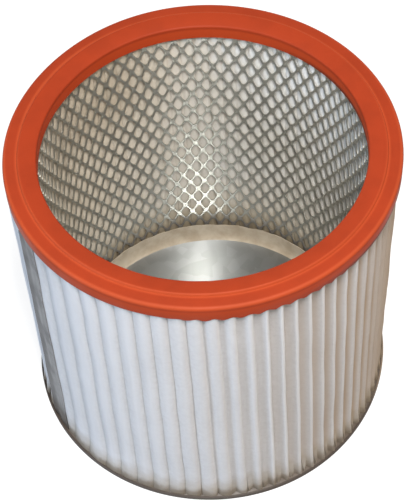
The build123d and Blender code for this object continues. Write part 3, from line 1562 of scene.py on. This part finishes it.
@dataclass
class BasePan(Piece):
    """Shallow pan pressed from one steel disc."""

    node: str = "base_plate"
    slot: Slot = Slot.BASE
    radius: float = 96.2 * MM
    rim_height: float = 3.4 * MM
    steel: float = PAN_FLOOR
    corner: float = 1.2 * MM
    corner_flats: int = 5
    lip: float = 0.3 * MM
    lip_flats: int = 2
    sides: int = 216
    smooth_angle: float = 40.0

    def build(self) -> bpy.types.Object:
        """Models the pan from one cylinder.

        Returns:
            The pan.
        """
        pan = add_cylinder("pressed_base_pan", self.radius, 0.0, self.rim_height, self.sides)
        with editing(pan):
            pick(Domain.FACE, faces_up)
            bpy.ops.mesh.inset(thickness=self.steel, depth=0)
            bpy.ops.mesh.extrude_region_move(
                TRANSFORM_OT_translate={"value": (0, 0, self.steel - self.rim_height)},
            )
            pick(Domain.EDGE, lambda place, way: place.z < NEAR)
            bpy.ops.mesh.bevel(
                offset=self.corner, segments=self.corner_flats, affect="EDGES", profile=0.5,
            )
            pick(Domain.EDGE, self.runs_round_rim)
            bpy.ops.mesh.bevel(
                offset=self.lip, segments=self.lip_flats, affect="EDGES", profile=0.5,
            )
        merge_and_face_out(pan)
        press_in(pan, DENT_ANGLE, DENT_WIDTH, DENT_DEPTH)
        smooth(pan, self.smooth_angle)
        return pan

    def runs_round_rim(self, place: Vector, way: Vector) -> bool:
        """Whether an edge lies on top of the rim and runs round it.

        Args:
            place: the edge's middle.
            way: its direction.

        Returns:
            True for the edges of the lip.
        """
        outwards = Vector((place.x, place.y, 0)).normalized()
        on_top = place.z > self.rim_height - NEAR and lies_level(place, way)
        return on_top and abs(way.dot(outwards)) < ACROSS


@dataclass
class Potting(Piece):
    """Resin in the pan, drawn up between the pleats and inside the foot of the mesh.

    A step is a share of the run inwards and a share of the rise or fall.
    """

    node: str = "potting"
    slot: Slot = Slot.RESIN
    radius: float = 95.3 * MM
    floor: float = PAN_FLOOR
    bed: float = BED_LEVEL
    creep_run: float = 3.6 * MM
    creep: float = 2.6 * MM
    creep_steps: Curve = ((0.45, 0.25), (0.55, 0.75))
    climb_run: float = 1.3 * MM
    lip_run: float = 0.3 * MM
    well_radius: float = 78.9 * MM
    fillet_width: float = 3.6 * MM
    fillet_height: float = 8.0 * MM
    fillet_steps: Curve = ((0.12, 0.35), (0.22, 0.3), (0.3, 0.25), (0.36, 0.1))
    seam_merge: float = 0.05 * MM
    pour_size: float = 9.0 * MM
    pour_depth: float = 2.2 * MM
    pour_gain: float = 1.6
    sides: int = 240
    smooth_angle: float = 60.0

    def build(self) -> bpy.types.Object:
        """Models the resin from one cylinder, inset step by step towards the well.

        Returns:
            The cast resin.
        """
        bank = self.radius - self.creep_run - self.well_radius - self.climb_run - self.lip_run
        fillet_fall = self.fillet_height + self.bed - self.floor
        bed_width = self.radius - self.well_radius + self.fillet_width
        resin = add_cylinder("cast_potting", self.radius, self.floor, self.bed, self.sides)
        with editing(resin):
            pick(Domain.FACE, faces_up)
            for run, rise in self.creep_steps:
                bpy.ops.mesh.inset(thickness=self.creep_run * run, depth=self.creep * rise)
            bpy.ops.mesh.inset(thickness=bank, depth=0)
            bpy.ops.mesh.inset(thickness=self.climb_run, depth=self.fillet_height - self.creep)
            bpy.ops.mesh.inset(thickness=self.lip_run, depth=0)
            for run, fall in self.fillet_steps:
                bpy.ops.mesh.inset(thickness=run * self.fillet_width, depth=-fall * fillet_fall)
            bpy.ops.mesh.delete(type="FACE")
            pick(Domain.FACE, faces_down)
            bpy.ops.mesh.inset(thickness=bed_width, depth=0)
            bpy.ops.mesh.delete(type="FACE")
        merge_and_face_out(resin, self.seam_merge)
        self.unlevel(resin)
        press_in(resin, DENT_ANGLE, DENT_WIDTH, DENT_DEPTH)
        smooth(resin, self.smooth_angle)
        return resin

    def unlevel(self, resin: bpy.types.Object) -> None:
        """Makes the poured edges uneven, and leaves what lies in the pan.

        Args:
            resin: the level casting.
        """
        group = resin.vertex_groups.new(name="poured")
        for vert in resin.data.vertices:
            share = self.pour_gain * (vert.co.z - self.bed) / self.fillet_height
            group.add([vert.index], min(max(share, 0.0), 1.0), "REPLACE")
        wobble(resin, self.pour_size, self.pour_depth, Way.Z, group.name)


@dataclass
class SeamStrip(Piece):
    """Grey strip over the seam of the sheet, creased along its length."""

    node: str = "seam_strip"
    slot: Slot = Slot.SEAM
    radius: float = 94.9 * MM
    foot: float = BED_LEVEL
    head: float = RING_UNDER
    start: float = 203.7
    end: float = 211.7
    thickness: float = 0.35 * MM
    sag: float = 0.15 * MM
    crease: float = 0.35 * MM
    crease_place: float = -0.3
    crease_width: float = 0.13
    tuck: float = 0.45 * MM
    splay: float = 2.2
    columns: int = 360
    rows: int = 18
    smooth_angle: float = 50.0

    def build(self) -> bpy.types.Object:
        """Models the strip from a slice of a cylinder's wall.

        Returns:
            The strip.
        """
        strip = add_cylinder(
            "seam_cover_strip", self.radius, self.foot, self.head, self.columns, "NOTHING",
        )
        with editing(strip):
            pick(Domain.FACE, lambda place, way: abs(self.across(place)) > 1)
            bpy.ops.mesh.delete(type="FACE")
            pick(Domain.EDGE, stands_upright)
            bpy.ops.mesh.subdivide(number_cuts=self.rows - 1)
        for vert in strip.data.vertices:
            vert.co = self.draped(vert.co)
        wave(strip)
        use_modifier(strip, "SOLIDIFY", thickness=self.thickness, offset=1.0)
        merge_and_face_out(strip)
        smooth(strip, self.smooth_angle)
        return strip

    @property
    def middle(self) -> float:
        """Angle of the strip's middle."""
        return (self.start + self.end) / 2

    @property
    def half(self) -> float:
        """Angle from the strip's middle to an edge."""
        return (self.end - self.start) / 2

    def across(self, place: Vector) -> float:
        """Place across the strip, from -1 at one edge to 1 at the other."""
        return off_angle(bearing(place), self.middle) / self.half

    def draped(self, place: Vector) -> Vector:
        """Where a point of the strip lies once it is creased, tucked in and splayed.

        Args:
            place: the point on the cylinder.

        Returns:
            The point on the glued strip.
        """
        where = self.across(place)
        dip = self.sag * max(0.0, 1 - where * where)
        dip += self.crease if abs(where - self.crease_place) < self.crease_width else 0.0
        dip += self.tuck * max(0.0, where)
        fall = (self.head - place.z) / (self.head - self.foot)
        angle = self.middle + self.half * where - self.splay * fall * max(0.0, -where)
        return polar(self.radius - dip, angle, place.z)


# Studio

@dataclass(frozen=True)
class Lamp:
    """A soft lamp that shines at a point of the filter."""

    name: str
    place: tuple[float, float, float]
    target: tuple[float, float, float]
    size: tuple[float, float]
    power: float
    tint: tuple[float, float, float]

    def hang(self) -> None:
        """Adds the lamp to the scene."""
        way = Vector(self.target) - Vector(self.place)
        turn = way.to_track_quat("-Z", "Y").to_euler()
        bpy.ops.object.light_add(type="AREA", location=self.place, rotation=turn)
        lamp = bpy.context.active_object
        lamp.name = self.name
        lamp.data.shape = "ELLIPSE"
        lamp.data.size, lamp.data.size_y = self.size
        lamp.data.energy = self.power
        lamp.data.color = self.tint


@dataclass
class Studio:
    """Floor, light and camera."""

    lamps: tuple[Lamp, ...] = (
        Lamp(
            name="key_left", place=(-1.42, -0.68, 0.75), target=(0, 0, 0.09), size=(0.7, 0.7),
            power=13.2, tint=(0.62, 0.79, 1.0),
        ),
        Lamp(
            name="fill_right", place=(1.05, -0.5, 1.2), target=(0, 0, 0.09), size=(0.6, 0.6),
            power=3.8, tint=(1.0, 0.72, 0.46),
        ),
        Lamp(
            name="lamp_above", place=(0.054, -0.42, 1.05), target=(0, 0.02, 0.03),
            size=(0.1, 0.5), power=14.5, tint=(1.0, 0.98, 0.94),
        ),
    )
    ambient: float = 0.22
    ambient_tint: Colour = (1.0, 0.96, 0.91, 1)
    white: Colour = (1, 1, 1, 1)
    floor_size: float = 8.0
    floor_level: float = -0.05 * MM
    floor_colour: Colour = (0.25, 0.25, 0.25, 1)
    floor_lift: float = 0.85
    camera_place: tuple[float, float, float] = (0.0, -0.48713, 0.73612)
    camera_fall: float = 52.9376
    camera_yaw: float = -0.2307
    camera_roll: float = -3.3575
    lens: float = 113.0
    sensor: float = 36.0
    nearest: float = 0.01

    def build(self) -> None:
        """Sets up everything that is not the filter."""
        for lamp in self.lamps:
            lamp.hang()
        self.lay_floor()
        self.paint_world()
        self.stand_camera()
        bpy.context.scene.view_settings.view_transform = "Standard"

    @staticmethod
    def seen_rays(sheet: NodeSheet) -> bpy.types.NodeSocket:
        """Tells the rays that show a background from those that light the filter.

        Args:
            sheet: the sheet of the floor's material or of the world.

        Returns:
            1 for rays from the camera and for those that metal or glass sends on.
        """
        path = sheet.add("ShaderNodeLightPath").outputs
        shiny = sheet.most(path["Is Glossy Ray"], path["Is Transmission Ray"])
        return sheet.most(path["Is Camera Ray"], shiny)

    def lay_floor(self) -> None:
        """Lays a pale floor that shows white where no shadow falls."""
        bpy.ops.object.select_all(action="DESELECT")
        bpy.ops.mesh.primitive_plane_add(size=self.floor_size, location=(0, 0, self.floor_level))
        floor = named("pale_floor")
        material = bpy.data.materials.new("pale_floor")
        material.use_nodes = True
        sheet = NodeSheet(material.node_tree)
        matt = sheet.add("ShaderNodeBsdfDiffuse", {"Color": self.floor_colour})
        lift = sheet.times(self.seen_rays(sheet), self.floor_lift)
        glow = sheet.add("ShaderNodeEmission", {"Strength": lift})
        total = sheet.add("ShaderNodeAddShader", {0: matt.outputs[0], 1: glow.outputs[0]})
        sheet.add("ShaderNodeOutputMaterial", {"Surface": total.outputs[0]})
        floor.data.materials.append(material)

    def paint_world(self) -> None:
        """Gives an even soft light, seen as white."""
        world = bpy.data.worlds.new("studio")
        bpy.context.scene.world = world
        world.use_nodes = True
        sheet = NodeSheet(world.node_tree)
        seen = self.seen_rays(sheet)
        strength = sheet.line(seen, 1.0 - self.ambient, self.ambient)
        colour = sheet.mix(seen, self.ambient_tint, self.white)
        back = sheet.add("ShaderNodeBackground", {"Color": colour, "Strength": strength})
        sheet.add("ShaderNodeOutputWorld", {"Surface": back.outputs[0]})

    def stand_camera(self) -> None:
        """Stands the camera where the photograph was taken."""
        fall = math.radians(self.camera_fall)
        yaw = math.radians(self.camera_yaw)
        level = math.cos(fall)
        ahead = Vector((math.sin(yaw) * level, math.cos(yaw) * level, -math.sin(fall)))
        right = ahead.cross(Vector((0, 0, 1))).normalized()
        up = right.cross(ahead)
        roll = Matrix.Rotation(math.radians(-self.camera_roll), 3, ahead)
        turn = Matrix((roll @ right, roll @ up, -ahead)).transposed().to_4x4()
        bpy.ops.object.camera_add()
        camera = bpy.context.active_object
        camera.matrix_world = Matrix.Translation(self.camera_place) @ turn
        camera.data.lens = self.lens
        camera.data.sensor_width = self.sensor
        camera.data.clip_start = self.nearest
        bpy.context.scene.camera = camera


def main() -> None:
    """Builds the filter and its studio."""
    logging.basicConfig(level=logging.INFO, format="%(name)s %(message)s")
    log.info("frame with %d nodes", len(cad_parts))
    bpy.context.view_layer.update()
    effects = Effects.make()
    pan_steel = ZincSteel(effects, grime_and_shade_radii=(92.0 * MM, 94.0 * MM))
    strand_steel = ZincSteel(
        effects, name="zinc_strands", light=srgb(192, 190, 181), dark=srgb(166, 164, 155),
        crystal_scale=300.0, roughness=0.34, roughness_spread=0.1, metal=0.84, turned=0.0,
        film_levels=(25.0 * MM, 13.0 * MM),
    )
    media = PleatedMedia(NonWoven(effects))
    pieces: list[Piece] = [
        BasePan(pan_steel),
        Potting(CastResin(effects)),
        SupportMesh(strand_steel),
        media,
        SeamStrip(GreyStrip(effects)),
        EndRing(OrangeRubber(effects), tips=media.tip_angles()),
    ]
    for piece in pieces:
        piece.dress(piece.build())
    Studio().build()


if __name__ == "__main__":
    main()
